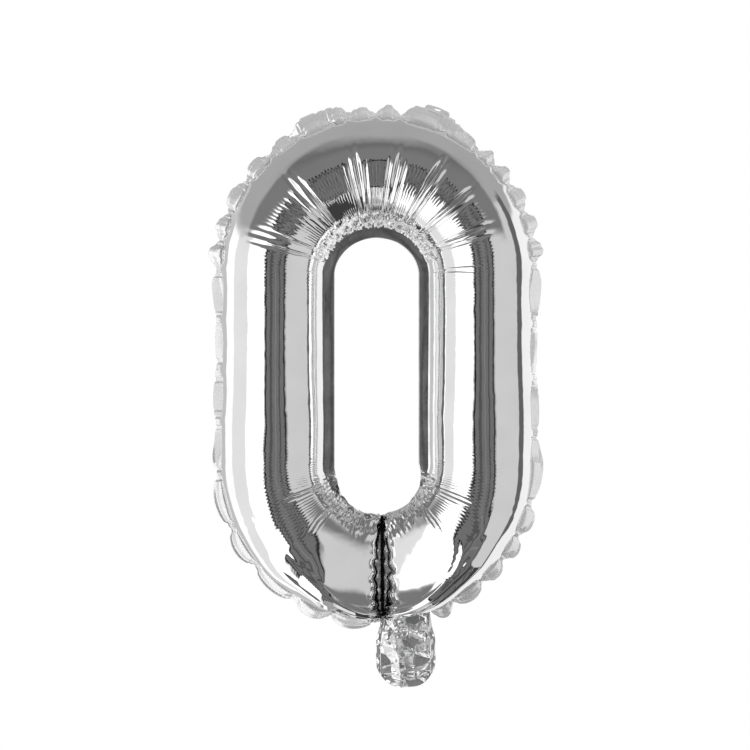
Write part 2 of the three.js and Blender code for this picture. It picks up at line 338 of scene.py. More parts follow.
class FoilSheet:
    """One half of the balloon as a grid of film, blown up against its own seams.

    The grid runs along the loop (u) and round the half section from the hole seam to the outer seam (v).
    """

    def __init__(self, s, phi):
        self.s, self.phi = s, phi
        self.base = self.round_tube(SAG).astype(np.float32)
        self.place = self.base.copy()
        self.before = self.base.copy()
        self.set_hold()
        self.set_lengths()

    def round_tube(self, drawn_out):
        """The smooth tube with its closed ends, and its crest run out by drawn_out beside the slit."""
        x, z, out_x, out_z = loop_point(self.s)
        outside = rising(80, 125, np.degrees(self.phi))[None, :]
        fills = END_WEDGE + (END_BLUNT - END_WEDGE) * outside
        rim = END_RIM + (END_RIM_OUTSIDE - END_RIM) * outside
        from_end = np.minimum(self.s - START, END - self.s)[:, None]
        filled = rim * rising(0, 4 * MM, from_end) + (1 - rim) * (1 - np.exp(-from_end / fills))
        near_end = 1 - rising(35 * MM, 105 * MM, from_end)
        boxy = 0.6 * near_end * rising(70, 115, np.degrees(self.phi))[None, :]
        depth = filled * TUBE * np.sin(self.phi)[None, :] ** (1 - boxy)
        sag = drawn_out * bell(from_end, SAG_SPAN) * np.sin(self.phi)[None, :] ** 2
        across = -TUBE * np.cos(self.phi)[None, :] + sag
        beside_hole = ((1 + np.cos(self.phi)) / 2)[None, :] ** 3
        across = across - hole_drop(out_z)[:, None] * beside_hole
        across[:, -1] -= seam_scallop(self.s)
        place_x, place_z = x[:, None] + out_x[:, None] * across, z[:, None] + out_z[:, None] * across
        for end, side, away in ((0, 1, self.s - START), (-1, -1, END - self.s)):
            shift = WELD_X + side * slit_half_width(place_z[end]) - place_x[end]
            place_x = place_x + (1 - rising(0, 16 * MM, away))[:, None] * shift
        return np.stack([place_x, -depth, place_z])

    def set_hold(self):
        """How firmly each place is drawn back to the smooth tube: near the slit, and along the crest."""
        from_end = np.minimum(self.s - START, END - self.s)[:, None]
        held = END_HOLD * (1 - rising(50 * MM, 150 * MM, from_end)) * np.ones(self.base.shape[1:])
        sliding = np.maximum(held, np.sin(self.phi)[None, :] ** 2 * SLIDE)
        self.hold = np.stack([sliding, held, sliding]).astype(np.float32)

    def set_lengths(self):
        """The film's own length from each place to the next, from the tube and the film gathered on it."""
        fine = np.linspace(START, END, 8001)
        share = gathered_share(fine, self.phi)
        step = fine[1] - fine[0]
        added = np.cumsum(share[1:] + share[:-1], 0) * step / 2
        gathered = np.concatenate([np.zeros((1, share.shape[1])), added])
        gathered = np.stack([np.interp(self.s, fine, column) for column in gathered.T], 1)
        even = np.diff(self.s)[:, None]
        stretch = 1 + np.diff(gathered, axis=0) / even
        tube = self.round_tube(0)
        self.along = (length_of(np.diff(tube, axis=1)) * stretch).astype(np.float32)
        columns = len(self.phi) - 1
        self.across = np.full((len(self.s), columns), math.pi * TUBE / columns, np.float32)
        mean_along = (self.along[:, 1:] + self.along[:, :-1]) / 2
        mean_across = (self.across[1:] + self.across[:-1]) / 2
        self.diagonal = np.sqrt(mean_along ** 2 + mean_across ** 2)
        self.two_along = (self.along[1:] + self.along[:-1]) * 0.97

    @staticmethod
    def pull(a, b, rest, strength, only_push=False):
        """Moves paired points towards their proper distance apart."""
        apart = b - a
        now = length_of(apart)
        share = (0.5 * strength) * (now - rest) / now
        if only_push:
            share = np.minimum(share, 0)
        apart *= share
        a += apart
        b -= apart

    def relax(self, stiffness):
        """Brings the film back towards its own lengths; stiffness is against sharp bends along the loop."""
        place = self.place
        for odd in (0, 1):
            self.pull(place[:, odd:-1:2], place[:, odd + 1::2], self.along[odd::2], 1.0)
        for odd in (0, 1):
            self.pull(place[:, :, odd:-1:2], place[:, :, odd + 1::2], self.across[:, odd::2], 1.0)
        for odd in (0, 1):
            rest = self.diagonal[odd::2]
            self.pull(place[:, odd:-1:2, :-1], place[:, odd + 1::2, 1:], rest, 0.5)
            self.pull(place[:, odd:-1:2, 1:], place[:, odd + 1::2, :-1], rest, 0.5)
        for first in range(4):
            near = place[:, first:-2:4]
            far = place[:, first + 2::4]
            pairs = min(near.shape[1], far.shape[1])
            self.pull(near[:, :pairs], far[:, :pairs], self.two_along[first::4][:pairs], stiffness, True)
        self.hold_seams()

    def hold_seams(self):
        """Keeps the seams where they are welded, and each tube end on its own side of the slit."""
        place, base = self.place, self.base
        place[:, :, 0] = base[:, :, 0]
        for edge in ((slice(None), -1), (0, slice(None)), (-1, slice(None))):
            place[(1, *edge)] = 0
        drift = place[:, :, -1] - base[:, :, -1]
        place[:, :, -1] = base[:, :, -1] + drift * np.minimum(1, SEAM_DRIFT / length_of(drift))
        np.minimum(place[1], 0, out=place[1])
        near_end = 24 * MM
        start_rows = np.searchsorted(self.s, START + near_end)
        end_rows = np.searchsorted(self.s, END - near_end)
        right, left = place[:, :start_rows], place[:, end_rows:]
        np.maximum(right[0], WELD_X + slit_half_width(right[2]), out=right[0])
        np.minimum(left[0], WELD_X - slit_half_width(left[2]), out=left[0])

    def blow(self, steps, push, stiffness=0.1, slow=0.95, relaxes=2):
        """Pushes the film outwards step by step; push is the distance in one step."""
        for _ in range(steps):
            move = (self.place - self.before) * slow
            move *= np.minimum(1, 0.6 * MM / length_of(move))
            self.before = self.place.copy()
            self.place += move + push * grid_normals(self.place)
            self.hold_seams()
            for _ in range(relaxes):
                self.relax(stiffness)
            self.place += self.hold * (self.base - self.place)

    def finer(self, along, across):
        """The same sheet on a finer grid."""
        s = stations(along)
        finer = FoilSheet(s, np.linspace(0, math.pi, across))
        at_s = np.interp(s, self.s, np.arange(len(self.s)))
        at_phi = np.linspace(0, len(self.phi) - 1, across)
        finer.place = np.stack([catmull(catmull(part, at_s).T.copy(), at_phi).T for part in self.place])
        finer.before = finer.place.copy()
        return finer

    def respace(self):
        """Moves rows of the grid towards the hole, where the crinkles are, and away from the outer seam."""
        fine = np.linspace(0, math.pi, 2001)
        density = 1 + 0.9 * (1 - rising(40, 60, np.degrees(fine))) - 0.25 * rising(120, 135, np.degrees(fine))
        total = np.concatenate([[0], np.cumsum(0.5 * (density[1:] + density[:-1]))])
        phi = np.interp(np.linspace(0, total[-1], len(self.phi)), total, fine)
        at = phi / math.pi * (len(self.phi) - 1)
        self.place = np.stack([catmull(part.T.copy(), at).T for part in self.place])
        self.base = np.stack([catmull(part.T.copy(), at).T for part in self.base])
        self.phi = phi

    def dent(self, depth):
        """A first dent at every fold, so that each one starts in its place."""
        dent = np.zeros(self.place.shape[1:])
        degrees = np.degrees(self.phi)[None, :]
        for at, reach, _ in fold_places():
            dent += bell(self.s[:, None] - at, 2 * MM) * fold_window(reach, degrees)
        self.place -= (grid_normals(self.place) * dent * depth).astype(np.float32)

    def roughen(self, size, seed):
        """Tiny uneven shifts, so that the film can start to buckle."""
        draw = np.random.default_rng(seed)
        shift = draw.normal(0, size, self.place.shape[1:])
        self.place += (grid_normals(self.place) * shift).astype(np.float32)
        self.before = self.place.copy()


def gathered_ribs(sheet):
    """Starts the ribs of the inner half at an even pitch, so that they come up side by side."""
    degrees = np.degrees(sheet.phi)[None, :]
    inside = rising(30, 60, degrees) * (1 - rising(108, 120, degrees)) * bend_share(sheet.s)[:, None]
    inside = inside * rising(1.3 * QUARTER, 1.9 * QUARTER, np.minimum(sheet.s, LENGTH - sheet.s))[:, None]
    wave = np.sin(2 * math.pi * sheet.s / RIB_PITCH)[:, None] * inside * 0.12 * MM
    sheet.place += (grid_normals(sheet.place) * wave).astype(np.float32)
    sheet.before = sheet.place.copy()


def crinkled_rim(sheet):
    """Adds the sharp crinkles beside the hole, the puckers by the slit and the flat slack facets below."""
    degrees = np.degrees(sheet.phi)[None, :]
    s, around = np.meshgrid(sheet.s, sheet.phi * TUBE, indexing="ij")
    _, _, _, out_z = loop_point(sheet.s)
    from_end = np.minimum(sheet.s - START, END - sheet.s)[:, None]

    crumple = folded_paper(s * 1.3, around, 31, 4, 8 * MM) * 1.15
    wander = 4 * smooth_noise(len(sheet.s), 12, 32)[:, None]
    pleats = 0.12 * MM * np.sin(2 * math.pi * s / RIB_PITCH + wander)
    beside_hole = rising(3, 12, degrees) * (1 - rising(26, 44, degrees))
    in_bends = rising(0.08, 0.5, np.abs(out_z))[:, None]
    height = (crumple + pleats) * beside_hole * in_bends

    puckers = folded_paper(s * 0.6, around * 1.4, 33, 4, 8 * MM) * 0.8
    by_slit = rising(0, 1.5 * MM, from_end) * (1 - rising(3 * MM, 8 * MM, from_end))
    height = height + puckers * by_slit * rising(20, 60, degrees)

    facets = folded_paper(s, around, 35, 3, FACET_PITCH) * FACET_SLOPE
    slack = rising(8 * MM, 24 * MM, from_end) * (1 - rising(55 * MM, 82 * MM, from_end))
    outside = rising(85, 115, degrees) * (1 - rising(150, 172, degrees))
    height = height + facets * slack * outside

    sheet.place -= (grid_normals(sheet.place) * height).astype(np.float32)
    sheet.hold_seams()


def blown_foil():
    """The front sheet, blown up on three grids from coarse to fine."""
    sheet = FoilSheet(stations(251), np.linspace(0, math.pi, 37))
    sheet.dent(2.2 * MM)
    sheet.roughen(0.08 * MM, 7)
    sheet.blow(450, 0.03 * MM)
    sheet = sheet.finer(451, 51)
    sheet.blow(350, 0.02 * MM)
    sheet = sheet.finer(741, 63)
    sheet.roughen(0.02 * MM, 8)
    gathered_ribs(sheet)
    sheet.blow(260, 0.012 * MM, stiffness=0.15)
    sheet.respace()
    crinkled_rim(sheet)
    return sheet


FILM = 0.12 * MM  # film thickness
HALF_FILM = 0.1 * MM  # half the thickness of two sealed films


def foil_skin(name, sheet, side):
    """The blown sheet as a closed film, for the front (side -1) or mirrored for the back (side 1)."""
    outer = sheet.place.astype(float)
    inner = outer - grid_normals(outer) * FILM
    inner[1] = np.minimum(inner[1], -0.01 * MM)
    outer[1] = np.minimum(outer[1], -0.02 * MM)
    if side > 0:
        turn = np.array([1, -1, 1])[:, None, None]
        outer, inner = outer * turn, inner * turn
    piece = film_shell(name, outer, inner)
    s = sheet.s[:, None]
    degrees = np.degrees(sheet.phi)[None, :]
    along = s + 0 * degrees
    gather = bend_share(s) * rising(4, 24, degrees) * (1 - rising(96, 116, degrees))
    gather = gather * rising(40 * MM, 90 * MM, np.minimum(s - START, END - s))
    for attribute, values in (("along", along), ("gather", gather)):
        add_attribute(piece, attribute, np.concatenate([values.ravel(), values.ravel()]))
    return piece


# ---------------- the sealed edges

def bead_at(s):
    """The bead that each place belongs to, how far along it the place is, and the bead's length."""
    ends = bead_ends()
    bead = np.clip(np.searchsorted(ends, s, side="right") - 1, 0, len(ends) - 2)
    span = ends[bead + 1] - ends[bead]
    return bead, np.clip((s - ends[bead]) / span, 0, 1), span


def seam_scallop(s):
    """How far inside its round the outer seam lies."""
    bead, t, span = bead_at(s)
    return BEAD_DIP * np.clip(1 - (2 * t - 1) ** 2, 0, 1) * np.clip(span / (16 * MM), 0.4, 1) - 0.6 * MM


def near_tabs(s):
    """For each tab: 1 where its root crosses the outer edge, and how wide the edge has to be there."""
    for name in ("left_tab_fold", "right_tab_fold"):
        x, _, z = joints[name]["pos_m"]
        at = LENGTH / 2 - LOOP * math.atan2(x, z - TOP_Z)
        near = 1 - rising(8 * MM, 15 * MM, np.abs(s - at))
        yield near, math.hypot(x, z - TOP_Z) - OUTER_RADIUS + TAB_LAP


def outer_edge(sheet):
    """The sealed edge outside the seam: puffed beads with a thin rim, and fine gathers where they meet."""
    ends = bead_ends()
    s = np.linspace(ends[0], ends[-1], 1500)
    seam_x, seam_z = (np.interp(s, sheet.s, sheet.place[k][:, -1]) for k in (0, 2))
    _, _, out_x, out_z = loop_point(s)
    bead, t, span = bead_at(s)
    draw = np.random.default_rng(41)
    own_width = draw.uniform(0.9, 1.06, len(ends))[bead]
    bow = np.clip(1 - np.abs(2 * t - 1) ** 2.1, 0, 1)
    side = 1 - bend_share(s)
    neck = BEAD_NECK + SIDE_NECK * side
    puffed = neck + (BEAD_WIDTH * own_width - neck) * bow
    rim = (RIM_LEAST + (RIM_WIDTH - RIM_LEAST) * np.sqrt(bow)) * (1 - 0.5 * side)
    lean = draw.uniform(4, 16, len(ends))[bead] + 40 * side + 10 * (1 - bow)
    for near, root in near_tabs(s):
        rim = rim + near * np.clip(root + seam_scallop(s) - puffed - rim, 0, None)
        lean = lean * (1 - near)
    lean = np.radians(lean)[:, None]
    puff = draw.uniform(1.3, 1.9, len(ends))[bead] * MM * np.sqrt(bow)
    gather = np.exp(-np.minimum(t, 1 - t) * span / (1.8 * MM)) + 0.02
    ripple = 0.2 * MM * gather * np.sin(2 * math.pi * s / (1.7 * MM) + 2 * smooth_noise(len(s), 30, 42))

    w = np.linspace(0, 1, 19)[None, :]
    in_puff = np.clip(w / PUFF_SHARE, 0, 1)
    in_rim = np.clip((w - PUFF_SHARE) / (1 - PUFF_SHARE), 0, 1)
    reach = puffed[:, None] * in_puff + rim[:, None] * in_rim - SEAM_LAP
    hump = np.sin(math.pi * in_puff ** 0.85)
    curl = 0.7 * MM * rising(PUFF_SHARE, 1, w) * smooth_noise(len(s), 60, 44)[:, None]
    skins = []
    for face, share in ((-1, 1.0), (1, 0.7)):
        lift = face * (puff[:, None] * share * hump + 0.1 * MM)
        lift = lift + ripple[:, None] * np.sin(math.pi * w * 0.8) + curl
        outward = reach * np.cos(lean) + lift * np.sin(lean)
        back = reach * np.sin(lean) + lift * np.cos(lean)
        x = seam_x[:, None] + out_x[:, None] * outward
        z = seam_z[:, None] + out_z[:, None] * outward
        skins.append(np.stack([x, back, z]))
    return film_shell("outer_edge", *skins)


GATHER_SPACING = 1.9 * MM
GATHER_LENGTH = 3.0 * MM
GATHER_WIDTH = 0.42 * MM


def gather_tree(material):
    """Lays small pressed ridges across a line, evenly spaced and each a little different."""
    tree = bpy.data.node_groups.new("seam_gathers", "GeometryNodeTree")
    face = tree.interface
    face.new_socket("Line", in_out="INPUT", socket_type="NodeSocketGeometry")
    for name, value in (("Spacing", GATHER_SPACING), ("Length", GATHER_LENGTH), ("Width", GATHER_WIDTH)):
        socket = face.new_socket(name, in_out="INPUT", socket_type="NodeSocketFloat")
        socket.default_value = value
    seed = face.new_socket("Seed", in_out="INPUT", socket_type="NodeSocketInt")
    seed.default_value = 5
    face.new_socket("Ridges", in_out="OUTPUT", socket_type="NodeSocketGeometry")
    add, link = tree.nodes.new, tree.links.new
    given, result = add("NodeGroupInput"), add("NodeGroupOutput")

    line = add("GeometryNodeMeshToCurve")
    link(given.outputs["Line"], line.inputs["Mesh"])
    points = add("GeometryNodeCurveToPoints")
    points.mode = "LENGTH"
    link(line.outputs["Curve"], points.inputs["Curve"])
    link(given.outputs["Spacing"], points.inputs["Length"])

    ridge = add("GeometryNodeMeshUVSphere")
    ridge.inputs["Segments"].default_value = 8
    ridge.inputs["Rings"].default_value = 6
    ridge.inputs["Radius"].default_value = 0.5
    vary = add("FunctionNodeRandomValue")
    vary.data_type = "FLOAT"
    vary.inputs[2].default_value = 0.45
    vary.inputs[3].default_value = 1.0
    link(given.outputs["Seed"], vary.inputs["Seed"])
    long = add("ShaderNodeMath")
    long.operation = "MULTIPLY"
    link(given.outputs["Length"], long.inputs[0])
    link(vary.outputs[1], long.inputs[1])
    size = add("ShaderNodeCombineXYZ")
    link(long.outputs[0], size.inputs["X"])
    link(given.outputs["Width"], size.inputs["Y"])
    link(given.outputs["Width"], size.inputs["Z"])

    place = add("GeometryNodeInstanceOnPoints")
    link(points.outputs["Points"], place.inputs["Points"])
    link(ridge.outputs["Mesh"], place.inputs["Instance"])
    link(points.outputs["Rotation"], place.inputs["Rotation"])
    link(size.outputs["Vector"], place.inputs["Scale"])
    real = add("GeometryNodeRealizeInstances")
    link(place.outputs["Instances"], real.inputs["Geometry"])
    smooth = add("GeometryNodeSetShadeSmooth")
    link(real.outputs["Geometry"], smooth.inputs["Geometry"])
    finish = add("GeometryNodeSetMaterial")
    finish.inputs["Material"].default_value = material
    link(smooth.outputs["Geometry"], finish.inputs["Geometry"])
    link(finish.outputs["Geometry"], result.inputs["Ridges"])
    return tree


def seam_gathers(sheet, material, side):
    """A row of tiny ridges where the film is drawn in along the outer seam, on one face of the balloon."""
    ends = bead_ends()
    s = np.linspace(ends[0], ends[-1], 1500)
    x, z = (np.interp(s, sheet.s, sheet.place[k][:, -1]) for k in (0, 2))
    _, _, out_x, out_z = loop_point(s)
    lifted = 0.5 * MM
    line = np.stack([x + out_x * lifted, np.full_like(s, side * lifted), z + out_z * lifted], 1)
    mesh = bpy.data.meshes.new("seam_line")
    mesh.from_pydata(line.tolist(), [(i, i + 1) for i in range(len(line) - 1)], [])
    carrier = bpy.data.objects.new("seam_line", mesh)
    bpy.context.scene.collection.objects.link(carrier)
    modifier = carrier.modifiers.new("gathers", "NODES")
    modifier.node_group = gather_tree(material)
    values = {
        "Spacing": GATHER_SPACING,
        "Length": GATHER_LENGTH,
        "Width": GATHER_WIDTH,
        "Seed": 5 if side < 0 else 6,
    }
    for socket in modifier.node_group.interface.items_tree:
        if socket.name in values:
            modifier[socket.identifier] = values[socket.name]
    solid = bpy.data.meshes.new_from_object(carrier.evaluated_get(bpy.context.evaluated_depsgraph_get()))
    bpy.data.objects.remove(carrier)
    piece = bpy.data.objects.new("seam_gathers_front" if side < 0 else "seam_gathers_back", solid)
    bpy.context.scene.collection.objects.link(piece)
    return piece


def hole_edge():
    """The flat sealed band inside the hole, crinkled where it turns through the bottom."""
    count = 900
    s = np.arange(count) / count * LENGTH
    x, z, out_x, out_z = loop_point(s)
    w = np.linspace(0, 1, 11)[None, :]
    angle = np.degrees(np.arctan2(out_x, -out_z))
    low_radius = np.interp(angle, *np.array(HOLE_BOTTOM).T) * MM
    radius = np.where(out_z < 0, low_radius, INNER_RADIUS - HOLE_BAND)
    drop = hole_drop(out_z)[:, None]
    inner = LOOP - radius[:, None] + drop
    outer = TUBE - SEAM_LAP + drop
    inward = outer + (inner - outer) * w
    corner = rising(0.1, 0.5, -out_z)[:, None]
    crumple = folded_paper(s[:, None] + 0 * w, inward, 51, 3, 15 * MM) * corner * 4
    slack = smooth_noise(count, 45, 52)[:, None] * 0.35 * MM + 0.3 * MM * np.sin(2.2 * w + 0.4)
    skins = []
    for face in (-1, 1):
        reach = inward + 0.5 * MM * corner * smooth_noise(count, 9, 53)[:, None] * w
        y = face * HALF_FILM + (crumple + slack) * np.sin(math.pi * w / 2)
        skins.append(np.stack([x[:, None] - out_x[:, None] * reach, y, z[:, None] - out_z[:, None] * reach]))
    return film_shell("hole_edge", skins[1], skins[0], ring=True)


def closing_seam():
    """The narrow weld that joins the two tube ends, under the slit between them."""
    half_width, inset = 6 * MM, 1 * MM
    u = np.linspace(-1, 1, 15)[None, :]
    t = np.linspace(0, 1, 220)[:, None]
    z = weld_high.z + inset + (weld_low.z - weld_high.z - 2 * inset) * t
    x = WELD_X + u * half_width + 0 * t
    crinkle = folded_paper(x, z, 61, 5, 7 * MM) * 0.9 * (1 - u ** 4)
    skins = [np.stack([x, face * HALF_FILM + crinkle, z + 0 * u]) for face in (-1, 1)]
    piece = film_shell("closing_seam", *skins)
    # painted shade mask: 1 along the middle of the weld, under the slit, where the weld's material paints
    # near-black shade
    painted_slit_shade = (1 - rising(1.0 * MM, 2.2 * MM, np.abs(x - WELD_X) + 0.5 * crinkle)).ravel()
    add_attribute(piece, "painted_slit_shade", np.concatenate([painted_slit_shade, painted_slit_shade]))
    return piece


# ---------------- the neck and its valve

NECK_TOP = 6.0 * MM  # how far the neck films run up past the fold line
NECK_TAPER = 3.4 * MM  # how much each side of its root is drawn in


def neck_place(u, t):
    """x and z on the neck: u from -1 at the left edge to 1, t from 0 at the top to 1 at the mouth."""
    middle = (left_seal_low.x + right_seal_high.x) / 2
    widest = (right_seal_high.x - left_seal_low.x) / 2
    half = widest - NECK_TAPER + NECK_TAPER * rising(0.05, 0.55, t)
    rounded = neck_high.z - neck_low.z
    z = neck_high.z + NECK_TOP - t * (rounded * (1 - 0.3 * np.abs(u) ** 3.2) + NECK_TOP)
    return middle + u * half, z


def neck_film(name, side, seed):
    """One crumpled layer of the neck, gathered upright at the root and in rolled lips at the mouth."""
    u = np.linspace(-0.86, 0.86, 90)[None, :]
    t = np.linspace(0, 1, 110)[:, None]
    x, z = neck_place(u, t)
    round_off = np.sqrt(np.clip(1 - (u / 0.9) ** 2, 0, 1))
    crumple = folded_paper(x, z, seed, 4, 16 * MM) * 2.8 + folded_paper(x, z, seed + 10, 5, 7 * MM) * 0.9
    upright = 0.9 * MM * (1 - rising(0.3, 0.65, t)) * np.sin(x / (1.1 * MM) + 2 * np.sin(z / (6 * MM)))
    lips = 0.7 * MM * rising(0.6, 0.8, t) * np.sin(t * 34 + 1.5 * np.sin(x / (5 * MM)) - 2.2 * u ** 2)
    folds = crumple + upright + lips
    depth = 0.5 * MM + round_off * (1.5 * MM + 1.8 * MM * np.sin(math.pi * t) + folds)
    depth = np.maximum(depth, 0.35 * MM)
    outer = np.stack([x, side * depth, z])
    inner = np.stack([x, side * (depth - FILM), z])
    return film_shell(name, outer, inner)


def neck_edge(name, side, seed):
    """The crinkled seal down one side of the neck."""
    w = np.linspace(0, 1, 11)[None, :]
    t = np.linspace(0, 1, 160)[:, None]
    u = side * (0.84 + 0.16 * w)
    x, z = neck_place(u, t)
    wave = folded_paper(x, z, seed, 6, 6 * MM) * 1.2 * w
    x = x + side * 0.2 * MM * np.sin(z / (2.1 * MM)) * w
    front = np.stack([x, wave - 0.25 * MM * (1 - 0.6 * w), z])
    back = np.stack([x, wave + 0.25 * MM * (1 - 0.6 * w), z])
    return film_shell(name, front, back)


def valve_film(name, side):
    """One of the two clear films of the self-closing valve, from inside the balloon down into the neck."""
    u = np.linspace(-1, 1, 21)[None, :]
    t = np.linspace(0, 1, 120)[:, None]
    half = (valve_high.x - valve_low.x) / 2
    x = (valve_low.x + valve_high.x) / 2 + u * half + 0 * t
    z = valve_high.z + (inlet_low.z - valve_high.z) * t + 0 * u
    wave = 0.1 * MM * np.sin(z / (4 * MM)) * np.cos(u * 3)
    gap = 0.18 * MM
    outer = np.stack([x, side * (gap + 0.2 * MM) + wave, z])
    inner = np.stack([x, side * gap + wave, z])
    return film_shell(name, outer, inner)


# ---------------- the hanging tabs

TAB_HALF_WIDTH = 9 * MM
TAB_HEIGHT = 14 * MM
TAB_HOLE = 2.5 * MM
TAB_HOLE_HEIGHT = 8.2 * MM


def hang_tab(name, joint_name, folded, seed):
    """A rounded tab with a ribbon hole, folded back over the top edge."""
    joint = joints[joint_name]
    hinge, axis = np.array(joint["pos_m"]), np.array(joint["axis"])
    upright = np.array([-axis[2], 0, axis[0]])
    turn = math.radians(folded)
    rise = upright * math.cos(turn) + np.array([0, 1, 0]) * math.sin(turn)
    face = np.cross(axis, rise)
    around = np.linspace(0, 2 * math.pi, 121)[:-1]
    square = (np.abs(np.cos(around)) ** 5 + np.abs(np.sin(around)) ** 5) ** (-1 / 5)
    rim_across = TAB_HALF_WIDTH * square * np.cos(around) * np.where(np.sin(around) > 0, 0.93, 1)
    rim_height = TAB_HEIGHT / 2 + TAB_HEIGHT / 2 * square * np.sin(around) + 0.3 * MM
    rounded = 1 - 0.1 * (rim_across / TAB_HALF_WIDTH) ** 2
    rim_height = np.where(rim_height > TAB_HEIGHT / 2, rim_height * rounded, rim_height)
    hole_across = TAB_HOLE * np.cos(around)
    hole_height = TAB_HOLE_HEIGHT + TAB_HOLE * np.sin(around)
    share = np.linspace(0, 1, 13)[None, :] ** 0.8
    across = hole_across[:, None] * (1 - share) + rim_across[:, None] * share
    height = hole_height[:, None] * (1 - share) + rim_height[:, None] * share
    lift = folded_paper(across, height, seed, 5, 11 * MM) * 0.3 - 4.0 * height ** 2
    lift = lift * rising(0, 3 * MM, height)
    skins = []
    for thick in (0.14 * MM, -0.14 * MM):
        parts = ((axis, across), (rise, height), (face, lift + thick))
        skins.append(hinge[:, None, None] + sum(np.multiply.outer(way, far) for way, far in parts))
    return film_shell(name, skins[0], skins[1], ring=True)


# ---------------- materials

class NodeWork:
    """Short calls for building a tree of shader nodes."""

    def __init__(self, tree):
        self.tree = tree

    def node(self, kind, **settings):
        node = self.tree.nodes.new(kind)
        for name, value in settings.items():
            setattr(node, name, value)
        return node

    def link(self, output, socket):
        self.tree.links.new(output, socket)

    def calc(self, operation, a, b=0.0):
        node = self.node("ShaderNodeMath", operation=operation)
        for socket, value in zip(node.inputs, (a, b)):
            if isinstance(value, (int, float)):
                socket.default_value = value
            else:
                self.link(value, socket)
        return node.outputs[0]


class Finish(NodeWork):
    """A metal or film finish, with the nodes that give it its grain."""

    def __init__(self, name, colour, roughness, metallic=1.0):
        self.material = bpy.data.materials.new(name)
        self.material.use_nodes = True
        super().__init__(self.material.node_tree)
        self.shader = self.tree.nodes["Principled BSDF"]
        self.shader.inputs["Base Color"].default_value = (*colour, 1)
        self.shader.inputs["Roughness"].default_value = roughness
        self.shader.inputs["Metallic"].default_value = metallic
        self.position = self.node("ShaderNodeTexCoord").outputs["Object"]

    def attribute(self, name):
        return self.node("ShaderNodeAttribute", attribute_name=name).outputs["Fac"]

    def noise(self, size, detail=3.0, along=None):
        """Noise with humps about `size` metres across."""
        node = self.node("ShaderNodeTexNoise")
        node.inputs["Scale"].default_value = 1 / size
        node.inputs["Detail"].default_value = detail
        self.link(along or self.position, node.inputs["Vector"])
        return node.outputs["Fac"]

    def spread(self, value, low, high):
        """From low to high as the value goes from 0.3 to 0.7."""
        node = self.node("ShaderNodeMapRange")
        self.link(value, node.inputs["Value"])
        node.inputs["From Min"].default_value = 0.3
        node.inputs["From Max"].default_value = 0.7
        node.inputs["To Min"].default_value = low
        node.inputs["To Max"].default_value = high
        return node.outputs[0]

    def tint(self, value, dark, light):
        """Base colour from dark to light as the value goes from 0.3 to 0.7."""
        ramp = self.node("ShaderNodeValToRGB")
        ramp.color_ramp.elements[0].position = 0.3
        ramp.color_ramp.elements[0].color = (*dark, 1)
        ramp.color_ramp.elements[1].position = 0.7
        ramp.color_ramp.elements[1].color = (*light, 1)
        self.link(value, ramp.inputs["Fac"])
        self.link(ramp.outputs["Color"], self.shader.inputs["Base Color"])

    def roughness(self, value):
        self.link(value, self.shader.inputs["Roughness"])

    def bump(self, height, distance):
        """Fine relief, added to any bump already there."""
        node = self.node("ShaderNodeBump")
        node.inputs["Distance"].default_value = distance
        self.link(height, node.inputs["Height"])
        if self.shader.inputs["Normal"].is_linked:
            self.link(self.shader.inputs["Normal"].links[0].from_socket, node.inputs["Normal"])
        self.link(node.outputs["Normal"], self.shader.inputs["Normal"])


def mirror_foil():
    """Bright metallised film: almost a mirror, with fine gathers across the bends and faint marks."""
    foil = Finish("mirror_foil", (0.93, 0.93, 0.935), 0.035)
    foil.tint(foil.noise(30 * MM), (0.88, 0.88, 0.885), (0.945, 0.945, 0.95))
    foil.roughness(foil.spread(foil.noise(9 * MM, 5), 0.02, 0.05))
    along, gather = foil.attribute("along"), foil.attribute("gather")
    wander = foil.calc("MULTIPLY", foil.noise(6 * MM, 2), 2.2 * MM)
    turns = foil.calc("MULTIPLY", foil.calc("ADD", along, wander), 2 * math.pi / (2.3 * MM))
    wave = foil.calc("SINE", turns)
    foil.bump(foil.calc("MULTIPLY", wave, gather), 0.03 * MM)
    foil.bump(foil.noise(16 * MM, 2), 0.25 * MM)
    return foil.material


def sealed_foil():
    """The heat-sealed film: the same metal, a little softer, with a fine crinkle."""
    foil = Finish("sealed_foil", (0.95, 0.95, 0.955), 0.2, metallic=0.5)
    foil.tint(foil.noise(12 * MM), (0.9, 0.9, 0.905), (0.97, 0.97, 0.975))
    foil.roughness(foil.spread(foil.noise(4 * MM, 4), 0.12, 0.22))
    foil.bump(foil.noise(4 * MM, 2), 0.05 * MM)
    return foil.material


def tab_foil():
    """The unsealed double film of a hanging tab, greyer than the puffed edge."""
    foil = Finish("tab_foil", (0.8, 0.8, 0.805), 0.2, metallic=0.55)
    foil.tint(foil.noise(7 * MM), (0.66, 0.66, 0.665), (0.86, 0.86, 0.865))
    foil.roughness(foil.spread(foil.noise(4 * MM, 4), 0.14, 0.28))
    foil.bump(foil.noise(5 * MM, 2), 0.05 * MM)
    return foil.material


def band_foil():
    """The flat pressed band: smooth, with a faint drawn grain."""
    foil = Finish("pressed_foil", (0.9, 0.9, 0.905), 0.1)
    foil.tint(foil.noise(14 * MM), (0.6, 0.6, 0.605), (0.86, 0.86, 0.865))
    foil.roughness(foil.spread(foil.noise(5 * MM, 4), 0.06, 0.16))
    foil.bump(foil.noise(3 * MM, 3), 0.05 * MM)
    return foil.material


